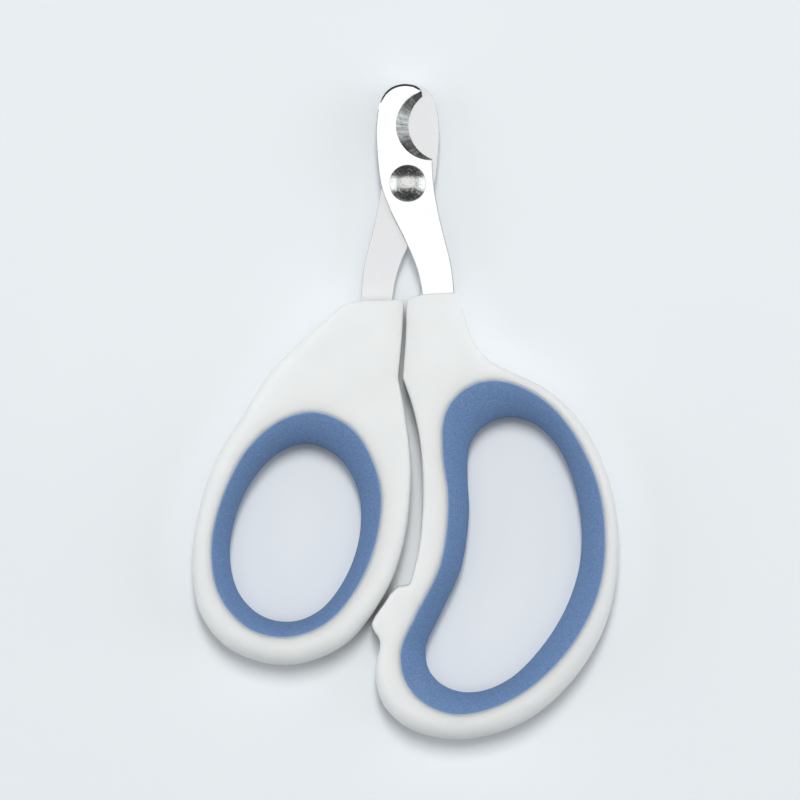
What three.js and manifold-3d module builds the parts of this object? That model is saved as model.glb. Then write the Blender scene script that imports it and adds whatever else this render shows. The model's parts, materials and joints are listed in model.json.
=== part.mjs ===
// Pet nail trimmer: a pair of claw scissors with two hooked blades on one rivet, two plastic
// handles moulded onto the blade tangs, and a soft lining in each finger loop.
//
// Units are millimetres. The trimmer lies flat and closed: +X is to the right, towards the larger
// finger loop, +Y points at the blade tips, and +Z is up, through the thickness.
// The pieces are drawn about the pivot axis, with z = 0 on the shear plane between the blades.

import * as THREE from 'three';
import { LoftGeometry } from 'three/addons/geometries/LoftGeometry.js';
import { mergeVertices } from 'three/addons/utils/BufferGeometryUtils.js';
import Module from 'manifold-3d';

// ---- driving dimensions ----

const HANDLE_THICKNESS = 10;
const BLADE_THICKNESS = 1.9;
const SHEAR_GAP = 0.1; // running gap between the two blades
const FIT_GAP = 0.3; // gap between a moulded piece and what it is moulded onto

const SHANK_RADIUS = 2;
const PIVOT_CLEARANCE = 0.1;
const RIVET_HEAD_RADIUS = 3.7;
const RIVET_HEAD_HEIGHT = 1.5;
const RIVET_TAIL_RADIUS = 2.9;
const RIVET_TAIL_HEIGHT = 0.7;
const RIVET_SEAT_GAP = 0.05; // under the head and over the tail
const RIVET_RIM = 0.15; // short cylindrical rim under each of its two domes

const TANG_HOLE_RADIUS = 1.3;
const TANG_HOLES = [[5.6, -27], [5.2, -32.2]];

const CUT_PAST = 1; // how far a cutter runs on past the face that it cuts through
const NOTCH_PAST = 0.2; // the same for the notch, as a share of the blade's thickness

const TONGUE_DEPTH = 1.2; // how far each shell's rib stands into its lining
const TONGUE_HALF_HEIGHT = 1;
const LINING_LAND = 0.5; // flat strip of lining beside the shell, at both faces
const LINING_FULLNESS = 1.4; // of the lining's swelling: 1 is a plain bevel and 2 an ellipse

const OUTLINE_STEP = 2.6; // spacing of the points along a handle outline
const BLADE_STEP = 1.6; // spacing along a blade outline
const LOOP_POINTS = 56; // points round each finger loop
const EDGE_STEPS = 3; // facets across a rounded handle edge
const LINING_STEPS = 4; // facets across the lining, from its narrowest to either face
const DOME_STEPS = 5; // facets from a rivet dome's rim to its top
const RIVET_SIDES = 32;
const BORE_SIDES = 40;
const NOTCH_SIDES = 64;
const TANG_HOLE_SIDES = 32;
const POST_SIDES = 20; // of the plastic posts through the tang holes

// ---- outlines, about the pivot axis ----

// The claw notch is ground by a round wheel held at a slant, so its wall is a slanted cylinder:
// one circle on the blade's inner face, which is the cutting edge, and one on its outer face.
const CUTTING_EDGE = { x: 7.4, y: 11.7, radius: 7.2 };
const NOTCH_TOP = { x: 4.6, y: 11.6, radius: 6.95 };

// Each run is a smooth curve, and the outline turns a corner where two runs meet.
const BLADE_RUNS = [
  // back of the hook, from the tip over the top and down to the tang
  [
    [2.7, 18.9], [1.2, 19.7], [-0.6, 19.9], [-2.6, 19.5], [-4.4, 18.3], [-5.7, 15.6], [-6.3, 10.7],
    [-6.1, 6], [-5.4, 0], [-3.6, -5.2], [-0.3, -11.9], [2, -17.6], [2.9, -22.1],
  ],
  // hidden tang
  [[2.9, -22.1], [3, -36]],
  [[3, -36], [7.2, -36]],
  [[7.2, -36], [8.3, -25.8]],
  [[8.3, -25.8], [9.4, -23.8]],
  // front edge up to the notch
  [[9.4, -23.8], [8.8, -17], [6.4, -6.9], [5.2, 0], [4.9, 4.9]],
  [[4.9, 4.9], [2.9, 17.6]],
  [[2.9, 17.6], [2.7, 18.9]],
];

// Handle outlines run anticlockwise. The third number is the radius of the rounded edge there.
const THUMB_RUNS = [
  // inner edge: straight beside the other handle, then a kink and the bulge round the loop
  [[-1.8, -39, 0.7], [-1.1, -31, 0.5], [-0.7, -23.9, 0.4]],
  // top edge with its outer corner
  [[-0.7, -23.9, 0.4], [-0.9, -23.4, 0.4], [-1.4, -23.2, 0.4]],
  [[-1.4, -23.2, 0.4], [-10.4, -23.5, 0.4]],
  [
    [-10.4, -23.5, 0.4], [-12.8, -24.4, 0.7], [-19.5, -30, 1.2], [-27, -37.3, 1.6],
    [-33.4, -47, 2.2], [-38.6, -55.6, 2.8], [-42, -66, 3.2], [-43.2, -76, 3.4],
    [-41.6, -86, 3.6], [-35.9, -93.1, 3.8], [-24.5, -96.5, 3.8], [-13, -92.7, 3.4],
    [-5.7, -84.2, 2.6], [-1.3, -74.4, 2], [0.8, -59, 1.5], [-0.5, -45.6, 1], [-1.8, -39, 0.7],
  ],
];

const FINGER_RUNS = [
  // top edge
  [[9.9, -21.7, 0.4], [0.6, -22.8, 0.4]],
  [[0.6, -22.8, 0.4], [0, -23.1, 0.4], [-0.2, -23.7, 0.4]],
  // inner edge down to the stop lug
  [[-0.2, -23.7, 0.4], [-0.5, -31, 0.5], [-1.1, -39, 0.7]],
  [
    [-1.1, -39, 0.7], [0.5, -43.4, 0.8], [2.3, -51, 0.8], [3, -62, 0.8], [2.2, -72.6, 0.8],
    [0.6, -79.4, 0.7],
  ],
  [[0.6, -79.4, 0.7], [0.2, -80.3, 0.6], [-1.8, -80.5, 0.6]],
  // slanted face of the lug, its nose, and the hollow under it
  [[-1.8, -80.5, 0.6], [-3, -81.5, 0.6], [-4.7, -84, 0.6], [-7, -87.4, 0.6]],
  [[-7, -87.4, 0.6], [-7.3, -88.2, 0.6], [-6.7, -89.7, 0.7]],
  [[-6.7, -89.7, 0.7], [-5.6, -91.4, 0.8], [-5.7, -93, 1]],
  // round the loop and back up to the top edge
  [
    [-5.7, -93, 1], [-6.6, -97.6, 2], [-5.3, -103.6, 3], [-1.6, -108, 3.6], [4, -110.6, 3.8],
    [12, -111.3, 3.8], [23, -108, 3.8], [32.5, -100.2, 3.6], [39, -90, 3.4], [41.9, -79, 3.2],
    [42.1, -68, 3], [39.6, -57, 2.6], [34.6, -47.6, 2.2], [28, -41.3, 1.8], [19.8, -37.2, 1.3],
    [15.3, -34.4, 1], [12.5, -29.8, 0.8], [10.9, -24.6, 0.6], [9.9, -21.7, 0.4],
  ],
];

// Loops: where the lining meets the shell, and the hole that the finger goes through.
const THUMB_SEAM = [
  [-18.5, -45.8], [-25.5, -47.5], [-31.9, -53], [-36.9, -62.5], [-39.2, -72.8], [-37.6, -82.4],
  [-31.6, -89.1], [-24, -90.7], [-16.3, -87.9], [-10.1, -80.7], [-6.1, -70.5], [-5.6, -60],
  [-10.8, -49.4],
];
const THUMB_HOLE = [
  [-19.9, -52.1], [-25.6, -53.8], [-30.5, -58.6], [-34.2, -65.8], [-35.6, -74.8], [-33.7, -82.2],
  [-29, -86.7], [-23, -87.7], [-17.4, -85.3], [-12.2, -78.4], [-9.5, -69.6], [-10, -61.3],
  [-13.9, -54.8],
];
const FINGER_SEAM = [
  [17, -39.4], [11.6, -41], [7.5, -46], [7, -54], [8.1, -63.5], [6.6, -76], [1.6, -86.4],
  [-1.5, -94.1], [0.9, -101.8], [9, -106.1], [20.7, -103.2], [32, -93.3], [38.6, -79.6],
  [38.4, -62], [31.8, -48.1], [25, -41.9],
];
const FINGER_HOLE = [
  [19.4, -46.8], [15.2, -48.6], [12.4, -52.5], [12, -58.6], [12.3, -66.1], [10.6, -77.3],
  [6.4, -86.5], [3.5, -93.7], [5.4, -99.2], [11.5, -101.9], [19.8, -99.6], [29.4, -89.2],
  [34.4, -76.6], [34.1, -63.4], [30.3, -53.1], [25, -47.9],
];

// ---- materials ----

const STEEL = { color: 0xdcdddd, roughness: 0.22, metalness: 1 };
const RIVET_STEEL = { color: 0xc9c8c2, roughness: 0.12, metalness: 1 };
const WHITE_PLASTIC = { color: 0xf0efec, roughness: 0.45, metalness: 0 };
const SOFT_BLUE = { color: 0x6580ac, roughness: 0.8, metalness: 0 };

// ---- solids and booleans ----

const wasm = await Module();
wasm.setup();

function solid(geometry) {
  const bare = new THREE.BufferGeometry();
  bare.setAttribute('position', geometry.attributes.position);
  bare.setIndex(geometry.index);
  const merged = mergeVertices(bare, 1e-4);
  return new wasm.Manifold(new wasm.Mesh({
    numProp: 3,
    vertProperties: new Float32Array(merged.attributes.position.array),
    triVerts: new Uint32Array(merged.index.array),
  }));
}

function mesh(name, body, finish) {
  const result = body.getMesh();
  const geometry = new THREE.BufferGeometry();
  geometry.setAttribute('position', new THREE.BufferAttribute(result.vertProperties, 3));
  geometry.setIndex(new THREE.BufferAttribute(result.triVerts, 1));
  geometry.computeVertexNormals();
  const piece = new THREE.Mesh(geometry, new THREE.MeshStandardMaterial(finish));
  piece.name = name;
  return piece;
}

// ---- outline helpers: an outline is a list of Vector3 whose z carries the edge radius ----

function pointsAlong(runs, step) {
  return runs.flatMap((run) => {
    const curve = new THREE.CatmullRomCurve3(run.map(([x, y, r]) => new THREE.Vector3(x, y, r ?? 0)));
    const count = Math.max(run.length, Math.round(curve.getLength() / step));
    return curve.getSpacedPoints(count).slice(0, -1);
  });
}

function loopPoints(corners, count) {
  const curve = new THREE.CatmullRomCurve3(
    corners.map(([x, y]) => new THREE.Vector3(x, y, 0)),
    true,
  );
  return curve.getSpacedPoints(count).slice(0, -1);
}

// Moves each point of an anticlockwise outline outwards, square to the outline.
function moved(points, amountAt) {
  return points.map((point, i) => {
    const before = points.at(i - 1);
    const after = points[(i + 1) % points.length];
    const along = new THREE.Vector2(after.x - before.x, after.y - before.y).normalize();
    const amount = amountAt(point, i);
    return new THREE.Vector3(point.x + along.y * amount, point.y - along.x * amount, point.z);
  });
}

function atHeight(points, z) {
  return points.map(({ x, y }) => new THREE.Vector3(x, y, z));
}

function stack(sections) {
  return solid(new LoftGeometry(sections, { capStart: true, capEnd: true }));
}

function prism(points, low, high) {
  return stack([atHeight(points, low), atHeight(points, high)]);
}

function disc(x, y, radius, low, high, sides) {
  const circle = new THREE.Path().absarc(x, y, radius, 0, 2 * Math.PI).getSpacedPoints(sides);
  return prism(circle.slice(0, -1), low, high);
}

// ---- blades: one stamping, used twice ----

const bladeLow = SHEAR_GAP / 2;
const bladeHigh = bladeLow + BLADE_THICKNESS;

function notchCutter() {
  // the slanted cylinder, run on past both faces of the blade
  const heightAt = (t) => bladeLow + t * BLADE_THICKNESS;
  const circleAt = (t) => {
    const x = THREE.MathUtils.lerp(CUTTING_EDGE.x, NOTCH_TOP.x, t);
    const y = THREE.MathUtils.lerp(CUTTING_EDGE.y, NOTCH_TOP.y, t);
    const radius = THREE.MathUtils.lerp(CUTTING_EDGE.radius, NOTCH_TOP.radius, t);
    const circle = new THREE.Path().absarc(x, y, radius, 0, 2 * Math.PI).getSpacedPoints(NOTCH_SIDES);
    return atHeight(circle.slice(0, -1), heightAt(t));
  };
  return stack([circleAt(-NOTCH_PAST), circleAt(1 + NOTCH_PAST)]);
}

function bladeSolid() {
  const through = (x, y, radius, sides) => disc(
    x, y, radius, bladeLow - CUT_PAST, bladeHigh + CUT_PAST, sides,
  );
  let blade = prism(pointsAlong(BLADE_RUNS, BLADE_STEP), bladeLow, bladeHigh);
  blade = blade.subtract(notchCutter());
  blade = blade.subtract(through(0, 0, SHANK_RADIUS + PIVOT_CLEARANCE, BORE_SIDES));
  for (const [x, y] of TANG_HOLES) {
    blade = blade.subtract(through(x, y, TANG_HOLE_RADIUS, TANG_HOLE_SIDES));
  }
  return blade;
}

// The pocket that a tang leaves in its handle: the blade's own outline with the fit gap all round,
// less the posts of plastic that fill the tang's holes.
function tangPocket() {
  const outline = moved(pointsAlong(BLADE_RUNS, BLADE_STEP), () => FIT_GAP);
  const low = bladeLow - FIT_GAP;
  const high = bladeHigh + FIT_GAP;
  let pocket = prism(outline, low, high);
  for (const [x, y] of TANG_HOLES) {
    const radius = TANG_HOLE_RADIUS - FIT_GAP;
    pocket = pocket.subtract(disc(x, y, radius, low - CUT_PAST, high + CUT_PAST, POST_SIDES));
  }
  return pocket;
}

// ---- pivot rivet: domed head, shank and upset tail in one turned profile ----

function rivetSolid() {
  const seat = bladeHigh + RIVET_SEAT_GAP;
  // one dome from rim to top: a cap of a sphere standing on the rim
  const dome = (radius, height, side) => {
    const rise = height - RIVET_RIM;
    const sphere = (radius ** 2 + rise ** 2) / (2 * rise);
    const widest = Math.asin(radius / sphere);
    return Array.from({ length: DOME_STEPS + 1 }, (_, i) => {
      const angle = widest * (1 - i / DOME_STEPS);
      const level = seat + height - sphere * (1 - Math.cos(angle));
      return new THREE.Vector2(sphere * Math.sin(angle), side * level);
    });
  };
  const profile = [
    ...dome(RIVET_TAIL_RADIUS, RIVET_TAIL_HEIGHT, -1).reverse(),
    new THREE.Vector2(RIVET_TAIL_RADIUS, -seat),
    new THREE.Vector2(SHANK_RADIUS, -seat),
    new THREE.Vector2(SHANK_RADIUS, seat),
    new THREE.Vector2(RIVET_HEAD_RADIUS, seat),
    ...dome(RIVET_HEAD_RADIUS, RIVET_HEAD_HEIGHT, 1),
  ];
  // a lathe turns about Y, so the rivet is stood up along Z
  return solid(new THREE.LatheGeometry(profile, RIVET_SIDES).rotateX(Math.PI / 2));
}

// ---- handles ----

const half = HANDLE_THICKNESS / 2;

// A slab with rounded edges: outlines stacked from the bottom face to the top face, each drawn in
// by what the local edge radius takes away at its height.
function roundedSlab(outline) {
  const angles = Array.from({ length: EDGE_STEPS + 1 }, (_, i) => (i / EDGE_STEPS) * (Math.PI / 2));
  const section = (angle, side) => moved(outline, ({ z: r }) => -r * (1 - Math.cos(angle)))
    .map((point, i) => {
      const r = outline[i].z;
      return new THREE.Vector3(point.x, point.y, side * (half - r * (1 - Math.sin(angle))));
    });
  return stack([
    ...angles.toReversed().map((angle) => section(angle, -1)),
    ...angles.map((angle) => section(angle, 1)),
  ]);
}

// The opening in a shell: the seam line, with a rib left standing in it at mid-thickness.
function loopOpening(seam) {
  const outer = moved(seam, () => FIT_GAP / 2);
  const rib = moved(seam, () => FIT_GAP / 2 - TONGUE_DEPTH);
  return stack([
    atHeight(outer, -half - CUT_PAST),
    atHeight(outer, -TONGUE_HALF_HEIGHT - TONGUE_DEPTH / 2),
    atHeight(rib, -TONGUE_HALF_HEIGHT),
    atHeight(rib, TONGUE_HALF_HEIGHT),
    atHeight(outer, TONGUE_HALF_HEIGHT + TONGUE_DEPTH / 2),
    atHeight(outer, half + CUT_PAST),
  ]);
}

function shellSolid(runs, seam, pocket) {
  return roundedSlab(pointsAlong(runs, OUTLINE_STEP)).subtract(loopOpening(seam)).subtract(pocket);
}

// The lining: outside it fits the shell's opening, inside it swells from both faces to its narrowest
// at mid-thickness, where the finger hole is.
function liningSolid(seam, hole) {
  const outer = moved(seam, () => -FIT_GAP / 2);
  const groove = moved(seam, () => -FIT_GAP / 2 - TONGUE_DEPTH);
  const body = stack([
    atHeight(outer, -half),
    atHeight(outer, -TONGUE_HALF_HEIGHT - TONGUE_DEPTH / 2 - FIT_GAP),
    atHeight(groove, -TONGUE_HALF_HEIGHT - FIT_GAP),
    atHeight(groove, TONGUE_HALF_HEIGHT + FIT_GAP),
    atHeight(outer, TONGUE_HALF_HEIGHT + TONGUE_DEPTH / 2 + FIT_GAP),
    atHeight(outer, half),
  ]);
  const widest = moved(seam, () => -FIT_GAP / 2 - LINING_LAND);
  const throat = Array.from({ length: 2 * LINING_STEPS + 1 }, (_, step) => {
    const angle = (step / LINING_STEPS - 1) * (Math.PI / 2);
    const inwards = Math.abs(Math.cos(angle)) ** (2 / LINING_FULLNESS);
    const level = Math.sign(angle) * Math.abs(Math.sin(angle)) ** (2 / LINING_FULLNESS);
    return hole.map((point, i) => {
      const reached = point.clone().lerp(widest[i], 1 - inwards);
      return new THREE.Vector3(reached.x, reached.y, half * level);
    });
  });
  const below = atHeight(widest, -half - CUT_PAST);
  const above = atHeight(widest, half + CUT_PAST);
  return body.subtract(stack([below, ...throat, above]));
}

// Both loop curves start at the top of the loop, and each hole point is matched with the seam point
// at the same share of the way round.
const thumbSeam = loopPoints(THUMB_SEAM, LOOP_POINTS);
const thumbHole = loopPoints(THUMB_HOLE, LOOP_POINTS);
const fingerSeam = loopPoints(FINGER_SEAM, LOOP_POINTS);
const fingerHole = loopPoints(FINGER_HOLE, LOOP_POINTS);

// ---- assembly ----

const turnedOver = (body) => body.rotate([0, 180, 0]);

const fingerSide = new THREE.Group();
fingerSide.add(
  mesh('front_blade', bladeSolid(), STEEL),
  mesh('pivot_rivet', rivetSolid(), RIVET_STEEL),
  mesh('finger_handle_shell', shellSolid(FINGER_RUNS, fingerSeam, tangPocket()), WHITE_PLASTIC),
  mesh('finger_loop_inlay', liningSolid(fingerSeam, fingerHole), SOFT_BLUE),
);

const thumbSide = new THREE.Group();
thumbSide.add(
  mesh('rear_blade', turnedOver(bladeSolid()), STEEL),
  mesh('thumb_handle_shell', shellSolid(THUMB_RUNS, thumbSeam, turnedOver(tangPocket())), WHITE_PLASTIC),
  mesh('thumb_loop_inlay', liningSolid(thumbSeam, thumbHole), SOFT_BLUE),
);

// The origin is the middle of the footprint, on the surface that the trimmer rests on.
const trimmer = new THREE.Group();
trimmer.add(fingerSide, thumbSide);
const box = new THREE.Box3().setFromObject(trimmer);
const middle = box.getCenter(new THREE.Vector3());
trimmer.position.set(-middle.x, -middle.y, -box.min.z);

export default trimmer;
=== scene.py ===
"""Pet nail trimmer: the looks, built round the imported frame.

Every piece of the trimmer is made here as a fine mesh from outlines cut out of the frame's own
solids, so that places and sizes come from them. Lengths are in metres.
"""

import json
import math

import bmesh
import bpy
import numpy as np
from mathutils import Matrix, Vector


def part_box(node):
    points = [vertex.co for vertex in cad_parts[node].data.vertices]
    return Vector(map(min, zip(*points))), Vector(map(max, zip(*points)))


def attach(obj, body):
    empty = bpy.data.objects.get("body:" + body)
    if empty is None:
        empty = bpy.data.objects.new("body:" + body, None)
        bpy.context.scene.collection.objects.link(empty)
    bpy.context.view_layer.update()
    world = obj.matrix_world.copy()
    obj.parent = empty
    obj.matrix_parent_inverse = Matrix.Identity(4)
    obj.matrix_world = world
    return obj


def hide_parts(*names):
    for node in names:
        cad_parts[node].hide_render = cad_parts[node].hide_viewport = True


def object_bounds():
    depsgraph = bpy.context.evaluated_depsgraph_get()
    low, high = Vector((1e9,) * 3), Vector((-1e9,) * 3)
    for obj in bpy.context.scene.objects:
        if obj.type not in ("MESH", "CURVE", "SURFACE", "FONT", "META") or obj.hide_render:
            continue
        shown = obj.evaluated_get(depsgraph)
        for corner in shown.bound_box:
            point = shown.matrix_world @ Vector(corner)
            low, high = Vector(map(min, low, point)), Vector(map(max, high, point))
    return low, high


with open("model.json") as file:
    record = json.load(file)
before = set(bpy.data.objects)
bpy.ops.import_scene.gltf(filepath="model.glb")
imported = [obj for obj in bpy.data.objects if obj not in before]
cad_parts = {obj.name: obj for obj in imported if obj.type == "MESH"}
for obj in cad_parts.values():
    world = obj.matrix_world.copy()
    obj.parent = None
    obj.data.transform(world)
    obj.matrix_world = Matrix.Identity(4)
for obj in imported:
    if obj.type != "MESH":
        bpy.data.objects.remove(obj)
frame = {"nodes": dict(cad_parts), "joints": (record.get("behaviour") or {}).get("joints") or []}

MM = 0.001

cad_low, cad_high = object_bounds()
pivot = Vector(frame["joints"][0]["pos_m"])
shear = pivot.z  # height of the plane between the two blades

SPACING = 0.35 * MM  # between the points along a fine outline
CORNER_SOFTENING = 0.28 * MM  # reach of the smoothing that rounds a moulded corner in plan
CURVE_PIECES = 10  # between two points of a faceted outline
STRAIGHT = math.radians(0.35)  # a faceted outline's point that turns it less is left out
CORNER = math.radians(17)  # a point that turns it more is a real corner
SECTION_STEP = 0.02 * MM  # how far inside a face its outline is cut
JOIN = 0.002 * MM  # two cut lines this close are one line


# ---------------------------------------------------------------- camera

FIELD = 160 * MM  # width of the square picture at the field's height
FIELD_HEIGHT = 7.5 * MM
CAMERA_DISTANCE = 1.5
SENSOR = 36.0  # mm
AIM_OFFSET = Vector((-1.1 * MM, 2.4 * MM, 0))  # of the picture's middle from the trimmer's


def make_camera():
    middle = (cad_low + cad_high) / 2 + AIM_OFFSET
    data = bpy.data.cameras.new("camera")
    data.sensor_width = SENSOR
    data.lens = SENSOR * CAMERA_DISTANCE / FIELD
    camera = bpy.data.objects.new("camera", data)
    camera.location = (middle.x, middle.y, FIELD_HEIGHT + CAMERA_DISTANCE)
    bpy.context.scene.collection.objects.link(camera)
    bpy.context.scene.camera = camera


make_camera()


# ---------------------------------------------------------------- outlines cut from the frame


def cut_lines(node, height):
    """Starts and ends of the lines where the level plane at this height cuts a CAD node.

    Each line has the node's inside on its left."""
    mesh = frame["nodes"][node].data
    mesh.calc_loop_triangles()
    places = np.array([v.co for v in mesh.vertices])
    corners = places[np.array([t.vertices for t in mesh.loop_triangles])]
    above = corners[:, :, 2] > height
    corners = corners[above.any(axis=1) & ~above.all(axis=1)]
    starts, ends = [], []
    for triangle in corners:
        cut = []
        for p, q in zip(triangle, np.roll(triangle, -1, axis=0)):
            if (p[2] > height) != (q[2] > height):
                cut.append((p + (q - p) * (height - p[2]) / (q[2] - p[2]))[:2])
        normal = np.cross(triangle[1] - triangle[0], triangle[2] - triangle[0])
        along = cut[1] - cut[0]
        if along[0] * -normal[1] + along[1] * normal[0] < 0:
            cut.reverse()
        if np.linalg.norm(along) > 0.1 * JOIN:
            starts.append(cut[0])
            ends.append(cut[1])
    return np.array(starts), np.array(ends)


def slice_loops(node, height):
    """Closed outlines where the level plane at this height cuts a CAD node, largest first.

    Each is an anticlockwise array of x, y."""
    starts, ends = cut_lines(node, height)
    left = list(range(len(starts)))
    loops = []
    while left:
        chain = [left.pop(0)]
        while left:
            gaps = np.linalg.norm(starts[left] - ends[chain[-1]], axis=1)
            nearest = int(np.argmin(gaps))
            if gaps[nearest] > JOIN:
                break
            chain.append(left.pop(nearest))
        loop = starts[chain]
        loops.append(loop if area(loop) > 0 else loop[::-1])
    return sorted(loops, key=area, reverse=True)


def area(loop):
    x, y = loop[:, :2].T
    return 0.5 * float(np.sum(x * np.roll(y, -1) - np.roll(x, -1) * y))


def unit(vectors):
    return vectors / np.maximum(np.linalg.norm(vectors, axis=-1, keepdims=True), 1e-12)


def turns(loop):
    """How much a closed outline turns at each point, positive to the left, in radians."""
    loop = loop[:, :2]
    back = unit(loop - np.roll(loop, 1, axis=0))
    on = unit(np.roll(loop, -1, axis=0) - loop)
    cross = back[:, 0] * on[:, 1] - back[:, 1] * on[:, 0]
    return np.arctan2(cross, np.sum(back * on, axis=1))


def without_straight_points(loop):
    return loop[np.abs(turns(loop)) > STRAIGHT]


def outward(loop):
    """Unit normals of an anticlockwise outline."""
    along = unit(np.roll(loop, -1, axis=0)[:, :2] - np.roll(loop, 1, axis=0)[:, :2])
    return np.stack([along[:, 1], -along[:, 0]], axis=1)


def smoothed(values, reach):
    """Values along a closed outline, averaged with their neighbours; reach is in points."""
    half = int(max(1, math.ceil(3 * reach)))
    steps = np.arange(-half, half + 1)
    weights = np.exp(-0.5 * (steps / reach) ** 2)
    weights /= weights.sum()
    return sum(w * np.roll(values, -s, axis=0) for w, s in zip(weights, steps))


def evenly(curve, count, closed=True):
    """The curve's points, spaced evenly."""
    ring = np.vstack([curve, curve[:1]]) if closed else curve
    reach = np.concatenate([[0], np.cumsum(np.linalg.norm(np.diff(ring, axis=0), axis=1))])
    at = np.linspace(0, reach[-1], count, endpoint=not closed)
    return np.stack([np.interp(at, reach, ring[:, k]) for k in range(ring.shape[1])], axis=1)


def curved(loop, corner):
    """A faceted outline made round again: a cubic through its points, broken at real corners."""
    chord = np.roll(loop, -1, axis=0) - loop
    length = np.linalg.norm(chord, axis=1)[:, None]
    slope = chord / length
    before, before_length = np.roll(slope, 1, axis=0), np.roll(length, 1, axis=0)
    middle = (before_length * slope + length * before) / (length + before_length)
    sharp = (np.abs(turns(loop)) > corner)[:, None]
    leaving = np.where(sharp, slope, middle)
    arriving = np.roll(np.where(sharp, before, middle), -1, axis=0)
    end = np.roll(loop, -1, axis=0)
    t = np.linspace(0, 1, CURVE_PIECES, endpoint=False)[None, :, None]
    first, last = loop[:, None, :], end[:, None, :]
    out, into = (leaving * length)[:, None, :], (arriving * length)[:, None, :]
    curve = (
        (2 * t**3 - 3 * t**2 + 1) * first
        + (t**3 - 2 * t**2 + t) * out
        + (3 * t**2 - 2 * t**3) * last
        + (t**3 - t**2) * into
    )
    return curve.reshape(-1, loop.shape[1])


def fine_loop(loop, softening=CORNER_SOFTENING):
    """An evenly spaced fine outline from a faceted one, its corners slightly rounded."""
    curve = curved(without_straight_points(loop), CORNER)
    length = float(np.sum(np.linalg.norm(np.roll(curve, -1, axis=0) - curve, axis=1)))
    even = evenly(curve, int(round(length / SPACING)))
    return smoothed(even, softening / SPACING)


def from_top(loop):
    """The same closed outline, starting at its highest point in plan."""
    return np.roll(loop, -int(np.argmax(loop[:, 1])), axis=0)


def distance_to(points, loop):
    """Distance from each point to the nearest point of a fine closed outline."""
    return np.array([np.min(np.linalg.norm(loop - p, axis=1)) for p in points])


# ---------------------------------------------------------------- meshes from stacked outlines


def at_height(loop, height):
    """An outline's points at one height, or at a height each."""
    return np.column_stack([loop[:, :2], np.broadcast_to(height, len(loop))])


def middle_and_half(node):
    """Height of a node's middle, and half its thickness."""
    low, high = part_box(node)
    return (low.z + high.z) / 2, (high.z - low.z) / 2


def quarter_turn(facets):
    """Angles from 0 to a right angle."""
    return [i / facets * math.pi / 2 for i in range(facets + 1)]


def new_piece(name, mesh, sharp_angle=40):
    """Turns a bmesh into an object with smooth shading, sharp only where it turns sharply."""
    bmesh.ops.recalc_face_normals(mesh, faces=mesh.faces)
    data = bpy.data.meshes.new(name)
    mesh.to_mesh(data)
    mesh.free()
    data.shade_smooth()
    data.set_sharp_from_angle(angle=math.radians(sharp_angle))
    piece = bpy.data.objects.new(name, data)
    bpy.context.scene.collection.objects.link(piece)
    return piece


def add_ring(mesh, points):
    return [mesh.verts.new(p) for p in points]


def add_wall(mesh, ring_a, ring_b):
    """Faces between two rings, either of which may be a single point."""
    count = max(len(ring_a), len(ring_b))
    for i in range(count):
        j = (i + 1) % count
        if len(ring_a) == 1:
            mesh.faces.new((ring_a[0], ring_b[i], ring_b[j]))
        elif len(ring_b) == 1:
            mesh.faces.new((ring_a[i], ring_a[j], ring_b[0]))
        else:
            mesh.faces.new((ring_a[i], ring_a[j], ring_b[j], ring_b[i]))


def add_stack(mesh, sections, closed=False):
    """Skins outlines one after another and returns their rings.

    closed also joins the last to the first."""
    rings = [add_ring(mesh, section) for section in sections]
    for a, b in zip(rings, rings[1:]):
        add_wall(mesh, a, b)
    if closed:
        add_wall(mesh, rings[-1], rings[0])
    return rings


def fill_between(mesh, *rings, material=0):
    """A level face bounded by one ring, or by an outer and inner rings."""
    edges = []
    for ring in rings:
        for a, b in zip(ring, ring[1:] + ring[:1]):
            edges.append(mesh.edges.get((a, b)) or mesh.edges.new((a, b)))
    made = bmesh.ops.triangle_fill(mesh, use_beauty=True, edges=edges)
    for element in made["geom"]:
        if isinstance(element, bmesh.types.BMFace):
            element.material_index = material


# ---------------------------------------------------------------- handle shells

EDGE_FACETS = 12
PARTING_LINE = 0.04 * MM  # how far the mould's parting line stands proud
PARTING_REACH = 0.12 * MM  # to either side of it
DRAWN_IN = 0.1 * MM  # of the shell's side, so that the handles close without touching
EDGE_SUPPORT = 0.15 * MM  # of flat just inside the rounded edge
RIM_MARGIN = 0.8 * MM  # flat left between the rounded edge and the opening
WHOLE_FROM_SHEAR = 0.75 * MM  # beyond the blade's slot, where a handle's outline is whole
SIDE_SOFTENING = 1.0 * MM  # reach of the smoothing along a handle's side
DROP_SOFTENING = 1.5 * MM  # and of its edge's rounding
SEAM_DEPTH = 0.5 * MM  # below the upper face, where the rim is still whole
SEAM_SOFTENING = 0.6 * MM
SEAM_GAP = 0.01 * MM
SEAM_ROUNDING = 0.06 * MM
SEAM_FACETS = 4
SEAM_SUPPORTS = (0.5 * MM, 0.12 * MM)  # rings of flat round the seam's rounding


def handle_outline(shell, blade):
    """The shell's full outline, with the rounding of its edge at each point as a third column.

    It is read on the side of the shear plane away from the blade's slot, where each upright of the
    frame's wall stops short of the face by the rounding."""
    middle, half = middle_and_half(shell)
    side = -1 if middle_and_half(blade)[0] > shear else 1
    cut = slice_loops(shell, shear + side * WHOLE_FROM_SHEAR)[0]
    outline = without_straight_points(cut)
    places = np.array([v.co for v in frame["nodes"][shell].data.vertices])
    places = places[(places[:, 2] - middle) * side > WHOLE_FROM_SHEAR]
    radii = []
    for point in outline:
        off = np.linalg.norm(places[:, :2] - point, axis=1)
        radii.append(half - abs(places[np.argmin(off), 2] - middle))
    return fine_loop(np.column_stack([outline, radii]))


def seam_outline(shell):
    """Where the shell's opening meets its lining, on the upper face."""
    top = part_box(shell)[1].z
    opening = slice_loops(shell, top - SEAM_DEPTH)[1]
    return from_top(fine_loop(opening, softening=SEAM_SOFTENING))


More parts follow.
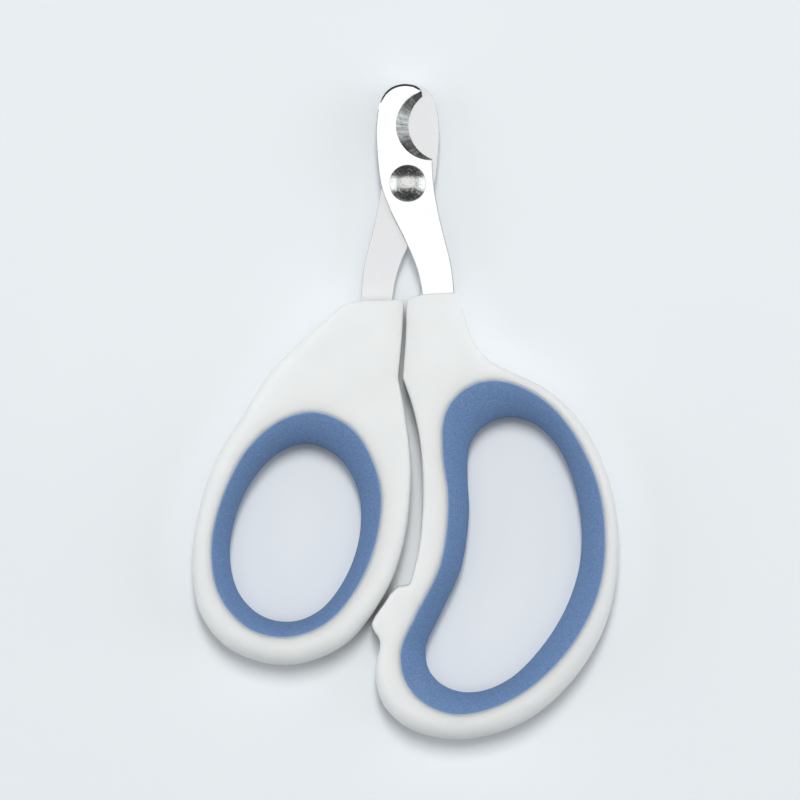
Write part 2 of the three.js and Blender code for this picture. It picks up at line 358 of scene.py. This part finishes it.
def outside_sections(outline, seam, middle, half):
    """A shell's outside from the lower rim to the upper: rounded edges and the parting line."""
    normal = unit(smoothed(outward(outline), SIDE_SOFTENING / SPACING))
    drop = smoothed(outline[:, 2], DROP_SOFTENING / SPACING)
    side_wall = outline[:, :2] - normal * DRAWN_IN
    room = smoothed(distance_to(side_wall, seam), SIDE_SOFTENING / SPACING) - RIM_MARGIN
    inset = np.minimum(drop, room)[:, None]

    def section(angle, side):
        drawn_in = side_wall - normal * inset * (1 - math.cos(angle))
        return at_height(drawn_in, middle + side * (half - drop * (1 - math.sin(angle))))

    def rim(side):
        return at_height(side_wall - normal * (inset + EDGE_SUPPORT), middle + side * half)

    angles = quarter_turn(EDGE_FACETS)
    return [
        rim(-1),
        *[section(angle, -1) for angle in reversed(angles)],
        at_height(side_wall, middle - PARTING_REACH),
        at_height(side_wall + normal * PARTING_LINE, middle),
        at_height(side_wall, middle + PARTING_REACH),
        *[section(angle, 1) for angle in angles],
        rim(1),
    ]


def opening_sections(seam, middle, half):
    """The wall of a shell's opening, from below to above, its edges slightly rounded."""
    normal = outward(seam)
    sections = []
    for side in (-1, 1):
        corner = [at_height(seam + normal * s, middle + side * half) for s in SEAM_SUPPORTS]
        for angle in quarter_turn(SEAM_FACETS):
            grown = seam + normal * SEAM_ROUNDING * (1 - math.sin(angle))
            level = half - SEAM_ROUNDING * (1 - math.cos(angle))
            corner.append(at_height(grown, middle + side * level))
        sections += corner if side < 0 else corner[::-1]
    return sections


def make_shell(name, shell, blade, body):
    middle, half = middle_and_half(shell)
    seam = seam_outline(shell)
    mesh = bmesh.new()
    outer = add_stack(mesh, outside_sections(handle_outline(shell, blade), seam, middle, half))
    inner = add_stack(mesh, opening_sections(seam, middle, half))
    fill_between(mesh, outer[0], inner[0])
    fill_between(mesh, outer[-1], inner[-1])
    piece = new_piece(name, mesh)
    piece.data.materials.append(materials["white_plastic"])
    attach(piece, body)
    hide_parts(shell)


# ---------------------------------------------------------------- soft loop linings

LINING_FACETS = 18
LINING_FULLNESS = 1.4  # of its swelling: 1 is a plain bevel and 2 an ellipse
LAND = 0.25 * MM  # flat of the lining beside the seam
FEATHER = 0.35 * MM  # how far the lining's colour pales towards the seam


def keep_seam_distance(piece, seam):
    """Stores each point's distance from the seam, for the paler edge of the lining."""
    places = np.array([v.co for v in piece.data.vertices])[:, :2]
    far = 2 * FEATHER
    near = np.full(len(places), far)
    box_low, box_high = seam.min(axis=0) - far, seam.max(axis=0) + far
    inside = ((places > box_low) & (places < box_high)).all(axis=1)
    near[inside] = np.minimum(distance_to(places[inside], seam), far)
    layer = piece.data.attributes.new("from_seam", "FLOAT", "POINT")
    layer.data.foreach_set("value", near.astype(np.float32))


def lining_sections(seam, hole, middle, half):
    """A lining from its lower face over its swelling to its upper face, then back down the seam."""
    land = seam - outward(seam) * LAND
    angles = quarter_turn(LINING_FACETS)
    sections = []
    for side, sweep in ((-1, angles[::-1]), (1, angles[1:])):
        for angle in sweep:
            spread = 1 - math.cos(angle) ** (2 / LINING_FULLNESS)
            level = math.sin(angle) ** (2 / LINING_FULLNESS)
            reached = hole + (land - hole) * spread
            sections.append(at_height(reached, middle + side * half * level))
    edge = half - SEAM_ROUNDING
    return sections + [at_height(seam, middle + edge), at_height(seam, middle - edge)]


def make_lining(name, inlay, shell, body):
    middle, half = middle_and_half(shell)
    seam = seam_outline(shell)
    seam = seam - outward(seam) * SEAM_GAP
    narrowest = slice_loops(inlay, middle + SECTION_STEP / 2)[-1]
    hole = evenly(from_top(fine_loop(narrowest, softening=SEAM_SOFTENING)), len(seam))
    mesh = bmesh.new()
    add_stack(mesh, lining_sections(seam, hole, middle, half), closed=True)
    piece = new_piece(name, mesh, sharp_angle=60)
    keep_seam_distance(piece, seam)
    piece.data.materials.append(materials["soft_blue"])
    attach(piece, body)
    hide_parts(inlay)


# ---------------------------------------------------------------- blades

ARC_POINTS = 110  # round the notch, at each level of a blade
BLANK_POINTS = 620  # along the rest of its outline
BLANK_CORNER = math.radians(20)
BORE_POINTS = 96
NOTCH_LOW = 6.5 * MM  # above the pivot, where a blade's inner side is all notch
NOTCH_HIGH = 16 * MM
NOTCH_SIDE = 4.2 * MM  # to either side of the pivot
NOTCH_START = 3 * MM  # above the pivot; nothing lower belongs to the notch
NOTCH_FIT = 0.03 * MM  # how near its circle a point of the notch lies
HOOK_START = 14.5 * MM  # above the pivot, where the outer edge break starts to widen
HOOK_REACH = 4.5 * MM  # on to the full chamfer
HOOK_CHAMFER = 0.45 * MM
HOOK_SLOPE = 0.7  # the chamfer's drop over its width
HOOK_SLOPE_REACH = HOOK_REACH / 3  # on to that slope
EDGE_BREAK = 0.14 * MM
INNER_BREAK = 0.098 * MM
EDGE_SLOPE = 0.95
KEEN_EDGE = 0.02 * MM  # left on the cutting edge
BREAK_SOFTENING = 3  # in points
WALL_SHARES = (0, 0.33, 0.67, 1)  # levels of a blade's wall, between its edge breaks
BLADE_STEELS = ("polished_steel", "ground_steel", "notch_steel_painted_dark")
GROUND = BLADE_STEELS.index("ground_steel")
NOTCH = BLADE_STEELS.index("notch_steel_painted_dark")


def circle_through(points):
    """Centre and radius of the circle that fits these points best."""
    x, y = points.T
    a = np.column_stack([2 * x, 2 * y, np.ones(len(x))])
    solved = np.linalg.lstsq(a, x**2 + y**2, rcond=None)[0]
    centre = solved[:2]
    return centre, math.sqrt(solved[2] + centre @ centre)


def notch_circle(loop):
    """The circle that the claw notch follows in one cut through a blade."""
    above = loop[loop[:, 1] > pivot.y + NOTCH_LOW]
    above = above[above[:, 1] < pivot.y + NOTCH_HIGH]
    inner_side = above[np.abs(above[:, 0] - pivot.x) < NOTCH_SIDE]
    return circle_through(inner_side)


def split_at_notch(loop):
    """One cut through a blade as its notch arc, evenly spaced, and the rest of its outline."""
    points = without_straight_points(loop)
    centre, radius = notch_circle(points)
    off = np.abs(np.linalg.norm(points - centre, axis=1) - radius)
    on_arc = (off < NOTCH_FIT) & (points[:, 1] > pivot.y + NOTCH_START)
    start = next(i for i in range(len(points)) if on_arc[i] and not on_arc[i - 1])
    points = np.roll(points, -start, axis=0)
    on_arc = np.roll(on_arc, -start)
    last = max(i for i in range(len(points)) if on_arc[: i + 1].all())
    first_angle, last_angle = (math.atan2(*(points[i] - centre)[::-1]) for i in (0, last))
    while last_angle > first_angle:  # the notch is hollow, so its wall turns the other way
        last_angle -= 2 * math.pi
    sweep = np.linspace(first_angle, last_angle, ARC_POINTS)
    arc = centre + radius * np.column_stack([np.cos(sweep), np.sin(sweep)])
    blank = np.vstack([points[last:], points[:1]])
    return arc, blank


def curved_open(run):
    """A faceted open run made round again, its ends kept."""
    padded = np.vstack([2 * run[0] - run[1], run, 2 * run[-1] - run[-2]])
    curve = curved(padded, BLANK_CORNER)
    kept = curve[CURVE_PIECES : CURVE_PIECES * len(run)]
    return np.vstack([kept, run[-1:]])


def blade_level(node, height):
    """A blade's outline at one height, its notch first."""
    arc, blank = split_at_notch(slice_loops(node, height)[0])
    blank = evenly(curved_open(blank), BLANK_POINTS, closed=False)
    return np.vstack([arc[:-1], blank[:-1]])


def keep_notch_distance(piece, cut, levels):
    """Stores how far round the notch each point of a blade's wall lies, for its grinding marks.

    The wall's points come first in the mesh: this many levels of as many points as the cut has."""
    steps = np.linalg.norm(np.diff(cut[:ARC_POINTS], axis=0), axis=1)
    along = np.zeros(len(cut))
    along[1:ARC_POINTS] = np.cumsum(steps)
    values = np.zeros(len(piece.data.vertices), dtype=np.float32)
    values[: levels * len(cut)] = np.tile(along, levels)
    layer = piece.data.attributes.new("along_notch", "FLOAT", "POINT")
    layer.data.foreach_set("value", values)


def edge_breaks(cut):
    """At each point, the edge break's width on the inner and the outer face, and its outer slope.

    It is a wide chamfer over the hook's outer back, and the cutting edge has next to none."""
    up_hook = cut[:, 1] - pivot.y - HOOK_START
    outer = EDGE_BREAK + (HOOK_CHAMFER - EDGE_BREAK) * np.clip(up_hook / HOOK_REACH, 0, 1)
    inner = np.full(len(cut), INNER_BREAK)
    outer[: ARC_POINTS - 1] = KEEN_EDGE
    inner[: ARC_POINTS - 1] = KEEN_EDGE
    slope = EDGE_SLOPE + (HOOK_SLOPE - EDGE_SLOPE) * np.clip(up_hook / HOOK_SLOPE_REACH, 0, 1)
    return smoothed(inner, BREAK_SOFTENING), smoothed(outer, BREAK_SOFTENING), slope


def blade_sections(inner_cut, outer_cut, inner_z, outer_z):
    """A blade's wall from its inner face, against the other blade, to its outer face."""
    inner_break, outer_break, slope = edge_breaks(outer_cut)
    rise = outer_z - inner_z
    low_share = inner_break / abs(rise)
    high_share = 1 - slope * outer_break / abs(rise)
    inner_rim = inner_cut - outward(inner_cut) * inner_break[:, None]
    outer_rim = outer_cut - outward(outer_cut) * outer_break[:, None]
    sections = [at_height(inner_rim, inner_z)]
    for share in WALL_SHARES:
        level = low_share + (high_share - low_share) * share
        wall = inner_cut + (outer_cut - inner_cut) * level[:, None]
        sections.append(at_height(wall, inner_z + rise * level))
    return sections + [at_height(outer_rim, outer_z)]


def add_bores(mesh, node, inner_z, outer_z):
    """Walls of a blade's round holes; returns their rings on the inner and the outer face."""
    inner_rings, outer_rings = [], []
    for loop in slice_loops(node, (inner_z + outer_z) / 2)[1:]:
        even = evenly(loop, BORE_POINTS)
        inner, outer = add_stack(mesh, [at_height(even, inner_z), at_height(even, outer_z)])
        inner_rings.append(inner)
        outer_rings.append(outer)
    return inner_rings, outer_rings


def mark_notch(mesh, rings):
    """Gives the wall that the grinding wheel left in the notch its own steel."""
    round_notch = {v for ring in rings for v in ring[:ARC_POINTS]}
    for face in mesh.faces:
        if round_notch.issuperset(face.verts):
            face.material_index = NOTCH


def make_blade(name, node, body):
    low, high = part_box(node)
    up = 1 if (low.z + high.z) / 2 > shear else -1
    inner_z, outer_z = (low.z, high.z) if up > 0 else (high.z, low.z)
    inner_cut = blade_level(node, inner_z + up * SECTION_STEP)
    outer_cut = blade_level(node, outer_z - up * SECTION_STEP)
    sections = blade_sections(inner_cut, outer_cut, inner_z, outer_z)
    mesh = bmesh.new()
    rings = add_stack(mesh, sections)
    inner_bores, outer_bores = add_bores(mesh, node, inner_z, outer_z)
    fill_between(mesh, rings[0], *inner_bores, material=GROUND)
    fill_between(mesh, rings[-1], *outer_bores)
    mark_notch(mesh, rings)
    piece = new_piece(name, mesh, sharp_angle=25)
    keep_notch_distance(piece, outer_cut, len(sections))
    for key in BLADE_STEELS:
        piece.data.materials.append(materials[key])
    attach(piece, body)
    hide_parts(node)


# ---------------------------------------------------------------- pivot rivet

RIVET_SIDES = 128
RIVET_SEAT = 0.03 * MM  # gap between the rivet and each blade's face
RIVET_RIM = 0.16 * MM  # edge under each cap, half of it upright and half bevelled
RIVET_EDGE = 0.05 * MM  # bevel under the head
TAIL_CUT = 0.1 * MM  # behind the rear blade, where the tail's radius is taken
CAP_FACETS = 28
DIMPLE_DEPTH = 0.12 * MM  # left in the tail by the setting tool
DIMPLE_SHARE = 0.4  # the dimple's radius over the tail's


def radius_at(node, height):
    """Radius of a round part at one height, from the area of its cut."""
    return math.sqrt(area(slice_loops(node, height)[0]) / math.pi)


def cap_profile(radius, rim_height, rise, side):
    """Radius and height of a spherical cap, from its top to its rim; side -1 turns it over."""
    sphere = (radius**2 + rise**2) / (2 * rise)
    widest = math.asin(radius / sphere)
    profile = []
    for i in range(CAP_FACETS + 1):
        angle = widest * i / CAP_FACETS
        height = rim_height + side * (rise - sphere * (1 - math.cos(angle)))
        profile.append((sphere * math.sin(angle), height))
    return profile


def tail_profile(radius, rim_height, rise):
    """The tail's cap, turned over, with a shallow dimple in its middle."""
    dimple = DIMPLE_SHARE * (radius + RIVET_RIM / 2)
    profile = []
    for r, z in cap_profile(radius, rim_height, rise, -1):
        ease = (1 + math.cos(math.pi * min(r / dimple, 1))) / 2
        profile.append((r, z + DIMPLE_DEPTH * ease))
    return profile


def rivet_profile(node):
    """Radius and height of the rivet's outline, from the tail's middle to the head's."""
    low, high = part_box(node)
    head = (high.x - low.x) / 2
    back_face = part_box("rear_blade")[0].z
    shank = radius_at(node, shear)
    tail = radius_at(node, back_face - TAIL_CUT)
    back = back_face - RIVET_SEAT
    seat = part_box("front_blade")[1].z + RIVET_SEAT
    tail_rim = back - RIVET_RIM
    head_rim = seat + RIVET_RIM
    return [
        *tail_profile(tail - RIVET_RIM / 2, tail_rim, tail_rim - low.z),
        (tail, back - RIVET_RIM / 2),
        (tail, back),
        (shank, back),
        (shank, seat),
        (head - RIVET_EDGE, seat),
        (head, seat + RIVET_EDGE),
        (head, seat + RIVET_RIM / 2),
        *cap_profile(head - RIVET_RIM / 2, head_rim, high.z - head_rim, 1)[::-1],
    ]


def turned(profile):
    """A profile turned round the pivot; it starts and ends on the axis."""
    mesh = bmesh.new()
    whole_turn = [2 * math.pi * i / RIVET_SIDES for i in range(RIVET_SIDES)]
    rings = []
    for r, z in profile:
        turn = whole_turn if r > 0 else [0]
        ring = [(pivot.x + r * math.cos(a), pivot.y + r * math.sin(a), z) for a in turn]
        rings.append(add_ring(mesh, ring))
    for a, b in zip(rings, rings[1:]):
        add_wall(mesh, a, b)
    return mesh


def make_rivet(name, node, body):
    piece = new_piece(name, turned(rivet_profile(node)), sharp_angle=50)
    piece.data.materials.append(materials["rivet_steel"])
    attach(piece, body)
    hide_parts(node)


# ---------------------------------------------------------------- materials


AT_SEAM = 0.45  # share of the lining's own blue on the seam line
SPECK = 0.32 * MM  # across one grain of the soft blue
PALE_BLUE = (0.6, 0.68, 0.8, 1)
DEEP_BLUE = (0.094, 0.172, 0.33)
LIGHT_BLUE = (0.194, 0.306, 0.515)
CLOUD_BLUE = (0.137, 0.238, 0.45, 1)
GRIND_PITCH = 0.45 * MM
GRIND_TURN = math.radians(-45)
WAVE_TURN = 20  # radians in a metre of a wave texture at scale 1


class Nodes:
    """Short calls for building one material's nodes."""

    def __init__(self, name):
        self.material = bpy.data.materials.new(name)
        self.material.use_nodes = True
        self.tree = self.material.node_tree
        self.shader = self.tree.nodes["Principled BSDF"]
        coordinates = self.add("ShaderNodeTexCoord")
        self.place = coordinates.outputs["Object"]

    def add(self, kind, **sockets):
        node = self.tree.nodes.new(kind)
        for socket, value in sockets.items():
            self.feed(node, socket.replace("_", " "), value)
        return node

    def feed(self, node, socket, value):
        target = node.inputs[socket]
        if isinstance(value, bpy.types.NodeSocket):
            self.tree.links.new(value, target)
        else:
            target.default_value = value

    def set(self, socket, value):
        self.feed(self.shader, socket, value)

    def fed(self, socket):
        """What the shader's socket is linked to already."""
        return self.shader.inputs[socket].links[0].from_socket

    def stretched(self, scale, rotation=(0, 0, 0)):
        """The object's own coordinates, turned and then stretched."""
        node = self.add("ShaderNodeMapping", Vector=self.place)
        node.inputs["Rotation"].default_value = rotation
        node.inputs["Scale"].default_value = scale
        return node.outputs["Vector"]

    def noise(self, size, detail=2.0, roughness=0.5, vector=None):
        """Noise whose features are about size metres across."""
        node = self.add("ShaderNodeTexNoise", Vector=vector or self.place)
        node.inputs["Scale"].default_value = 1 / size
        node.inputs["Detail"].default_value = detail
        node.inputs["Roughness"].default_value = roughness
        return node.outputs["Fac"]

    def ramp(self, value, *stops):
        node = self.add("ShaderNodeValToRGB", Fac=value)
        elements = node.color_ramp.elements
        while len(elements) < len(stops):
            elements.new(0.5)
        for element, (position, colour) in zip(elements, stops):
            element.position = position
            element.color = (*colour, 1) if len(colour) == 3 else colour
        return node.outputs["Color"]

    def levels(self, value, low, high):
        """A 0 to 1 value brought to the range low to high."""
        node = self.add("ShaderNodeMapRange", Value=value)
        node.inputs["To Min"].default_value = low
        node.inputs["To Max"].default_value = high
        return node.outputs["Result"]

    def mix(self, share, a, b):
        """Blends two colours, by the mix node's own sockets for colour."""
        node = self.add("ShaderNodeMix")
        node.data_type = "RGBA"
        self.feed(node, 0, share)
        self.feed(node, 6, a)
        self.feed(node, 7, b)
        return node.outputs[2]

    def bump(self, height, strength, depth, under=None):
        node = self.add("ShaderNodeBump", Height=height)
        node.inputs["Strength"].default_value = strength
        node.inputs["Distance"].default_value = depth
        if under is not None:
            self.tree.links.new(under, node.inputs["Normal"])
        return node.outputs["Normal"]


def white_colour(n):
    cloud = n.noise(9 * MM, detail=3)
    return n.ramp(cloud, (0.3, (0.81, 0.82, 0.81)), (0.7, (0.84, 0.85, 0.84)))


def blue_colour(n, speck):
    cloud = n.noise(5 * MM, detail=2)
    fine = n.ramp(speck, (0.34, DEEP_BLUE), (0.66, LIGHT_BLUE))
    return n.mix(n.levels(cloud, 0.0, 0.35), fine, CLOUD_BLUE)


def share_of_blue(n, speck):
    """1 over most of the lining, and less at the seam, with a grainy edge."""
    distance = n.add("ShaderNodeAttribute")
    distance.attribute_name = "from_seam"
    share = n.add("ShaderNodeMapRange", Value=distance.outputs["Fac"])
    share.interpolation_type = "SMOOTHSTEP"
    share.inputs["From Max"].default_value = FEATHER
    share.inputs["To Min"].default_value = AT_SEAM
    grainy = n.add("ShaderNodeMath")
    grainy.operation = "ADD"
    grainy.use_clamp = True
    n.feed(grainy, 0, share.outputs["Result"])
    n.feed(grainy, 1, n.levels(speck, -0.12, 0.12))
    return grainy.outputs["Value"]


def white_plastic():
    n = Nodes("white_plastic")
    n.set("Base Color", white_colour(n))
    grain = n.noise(0.22 * MM, detail=3)
    n.set("Roughness", n.levels(n.noise(2.5 * MM, detail=4), 0.36, 0.5))
    soft = n.bump(n.noise(6 * MM, detail=2), 0.25, 0.15 * MM)
    n.set("Normal", n.bump(grain, 0.35, 0.02 * MM, under=soft))
    n.shader.inputs["Specular IOR Level"].default_value = 0.45
    n.shader.inputs["Subsurface Weight"].default_value = 0.9
    n.shader.inputs["Subsurface Radius"].default_value = (0.95, 0.95, 1.0)
    n.shader.inputs["Subsurface Scale"].default_value = 4.0 * MM
    return n.material


def soft_blue():
    n = Nodes("soft_blue")
    speck = n.noise(SPECK, detail=3, roughness=0.65)
    n.set("Base Color", n.mix(share_of_blue(n, speck), PALE_BLUE, blue_colour(n, speck)))
    n.set("Roughness", n.levels(n.noise(1.5 * MM), 0.62, 0.78))
    n.set("Normal", n.bump(speck, 0.5, 0.05 * MM))
    n.shader.inputs["Specular IOR Level"].default_value = 0.2
    return n.material


def steel(name, colour, rough, turn, pitch, strength, depth):
    """Bare steel with fine parallel scratches, which lie at the angle turn in plan."""
    n = Nodes(name)
    lines = n.stretched((1, 0.03, 0.2), rotation=(0, 0, turn))
    scratches = n.noise(pitch, detail=4, roughness=0.6, vector=lines)
    patch = n.noise(3 * MM, detail=3)
    dim = tuple(c * 0.93 for c in colour)
    n.set("Base Color", n.ramp(patch, (0.3, dim), (0.7, colour)))
    n.set("Roughness", n.levels(scratches, rough * 0.8, rough * 1.25))
    n.set("Normal", n.bump(scratches, strength, depth))
    n.shader.inputs["Metallic"].default_value = 1.0
    return n


def polished_steel():
    return steel(
        "polished_steel",
        colour=(0.97, 0.97, 0.965),
        rough=0.16,
        turn=0,
        pitch=0.1 * MM,
        strength=0.12,
        depth=0.006 * MM,
    ).material


def ground_steel():
    n = steel(
        "ground_steel",
        colour=(0.86, 0.86, 0.87),
        rough=0.42,
        turn=GRIND_TURN,
        pitch=0.08 * MM,
        strength=0.2,
        depth=0.01 * MM,
    )
    # the grinding wheel's even marks, slanting across the blade
    across = n.stretched((1, 1, 1), rotation=(0, 0, GRIND_TURN))
    wave = n.add("ShaderNodeTexWave", Vector=across)
    wave.wave_type = "BANDS"
    wave.bands_direction = "X"
    wave.inputs["Scale"].default_value = 2 * math.pi / (WAVE_TURN * GRIND_PITCH)
    wave.inputs["Distortion"].default_value = 1.0
    wave.inputs["Detail"].default_value = 2
    wave.inputs["Detail Scale"].default_value = 600
    marks = wave.outputs["Fac"]
    n.set("Base Color", n.ramp(marks, (0.2, (0.85, 0.85, 0.86)), (0.8, (1.0, 1.0, 1.0))))
    n.set("Roughness", n.levels(marks, 0.34, 0.48))
    n.set("Normal", n.bump(marks, 0.4, 0.02 * MM, under=n.fed("Normal")))
    return n.material


def notch_steel_painted_dark():
    n = steel(
        "notch_steel_painted_dark",
        colour=(0.4, 0.4, 0.39),
        rough=0.3,
        turn=math.radians(90),
        pitch=0.16 * MM,
        strength=0.4,
        depth=0.02 * MM,
    )
    # chatter marks of the wheel that ground the notch, upright on its wall, and dull patches; on
    # top of these the whole wall is painted far darker than steel, as painted shade that stands in
    # for the notch's dark reflection
    along = n.add("ShaderNodeAttribute")
    along.attribute_name = "along_notch"
    across = n.add("ShaderNodeSeparateXYZ", Vector=n.stretched((1, 1, 0.12)))
    strip = n.add("ShaderNodeCombineXYZ", X=along.outputs["Fac"], Z=across.outputs["Z"])
    chatter = n.noise(0.6 * MM, detail=4, roughness=0.75, vector=strip.outputs["Vector"])
    patches = n.noise(1.4 * MM, detail=3, roughness=0.7)
    marks = n.mix(0.35, chatter, patches)
    # the ramp's dark end is painted shade for the notch's dark reflection, as well as the marks
    n.set("Base Color", n.ramp(marks, (0.4, (0.17, 0.17, 0.16)), (0.6, (0.6, 0.6, 0.585))))
    n.set("Roughness", n.levels(marks, 0.2, 0.42))
    n.set("Normal", n.bump(chatter, 0.5, 0.03 * MM, under=n.fed("Normal")))
    return n.material


def rivet_steel():
    n = steel(
        "rivet_steel",
        colour=(0.8, 0.8, 0.77),
        rough=0.24,
        turn=math.radians(30),
        pitch=0.3 * MM,
        strength=0.6,
        depth=0.06 * MM,
    )
    # a slightly wavy head with a few small dents from the setting tool
    wavy = n.bump(n.noise(1.3 * MM, detail=2), 0.5, 0.08 * MM, under=n.fed("Normal"))
    dents = n.ramp(n.noise(0.4 * MM, detail=2), (0.6, (0, 0, 0)), (0.68, (1, 1, 1)))
    n.set("Normal", n.bump(dents, 0.6, 0.04 * MM, under=wavy))
    return n.material


materials = {
    "white_plastic": white_plastic(),
    "soft_blue": soft_blue(),
    "polished_steel": polished_steel(),
    "ground_steel": ground_steel(),
    "notch_steel_painted_dark": notch_steel_painted_dark(),
    "rivet_steel": rivet_steel(),
}


# ---------------------------------------------------------------- pieces

make_shell("finger_handle_plastic", "finger_handle_shell", "front_blade", "finger_side")
make_shell("thumb_handle_plastic", "thumb_handle_shell", "rear_blade", "thumb_side")
make_lining("finger_loop_rubber", "finger_loop_inlay", "finger_handle_shell", "finger_side")
make_lining("thumb_loop_rubber", "thumb_loop_inlay", "thumb_handle_shell", "thumb_side")
make_blade("front_blade_steel", "front_blade", "finger_side")
make_blade("rear_blade_steel", "rear_blade", "thumb_side")
make_rivet("pivot_rivet_steel", "pivot_rivet", "finger_side")


# ---------------------------------------------------------------- floor and light

FLOOR_REACH = 3.0
FLOOR_DROP = 0.02 * MM  # gap under the object's lowest point
COOL_WHITE = (0.91, 0.96, 1.0)


def make_floor():
    mesh = bmesh.new()
    height = cad_low.z - FLOOR_DROP
    corners = [(-1, -1), (1, -1), (1, 1), (-1, 1)]
    mesh.faces.new([mesh.verts.new((FLOOR_REACH * x, FLOOR_REACH * y, height)) for x, y in corners])
    floor = new_piece("floor", mesh)
    n = Nodes("floor_paper")
    cloud = n.noise(60 * MM, detail=2)
    n.set("Base Color", n.ramp(cloud, (0.3, (0.80, 0.83, 0.85)), (0.7, (0.815, 0.84, 0.86))))
    n.set("Roughness", n.levels(n.noise(1 * MM), 0.75, 0.85))
    n.shader.inputs["Specular IOR Level"].default_value = 0.2
    floor.data.materials.append(n.material)


def area_light(name, place, size, radiance, colour=(1, 1, 1)):
    """A rectangular panel of this radiance, placed from and facing the pivot."""
    aim = Vector((pivot.x, pivot.y, shear))
    data = bpy.data.lights.new(name, "AREA")
    data.shape = "RECTANGLE"
    data.size, data.size_y = size
    data.energy = radiance * math.pi * size[0] * size[1]
    data.color = colour
    lamp = bpy.data.objects.new(name, data)
    lamp.location = aim + Vector(place)
    lamp.rotation_euler = (-Vector(place)).to_track_quat("-Z", "Y").to_euler()
    lamp.visible_camera = False
    bpy.context.scene.collection.objects.link(lamp)
    return lamp


def make_lights():
    area_light("softbox_above", place=(0, 0.15, 2.0), size=(3.0, 1.7), radiance=1.06)
    for name, x in (("panel_left", -2.6), ("panel_right", 2.6)):
        area_light(name, place=(x, 0, 1.25), size=(2.6, 2.1), radiance=1.5, colour=COOL_WHITE)
    key = area_light("key", place=(0, 0.74, 2.0), size=(0.35, 0.9), radiance=24)
    key.visible_glossy = False


def make_world():
    """Faint even light from all round."""
    world = bpy.data.worlds.new("studio")
    world.use_nodes = True
    background = world.node_tree.nodes["Background"]
    background.inputs["Color"].default_value = (0.9, 0.95, 1.0, 1)
    background.inputs["Strength"].default_value = 0.045
    bpy.context.scene.world = world
    bpy.context.scene.view_settings.view_transform = "Standard"


make_floor()
make_lights()
make_world()
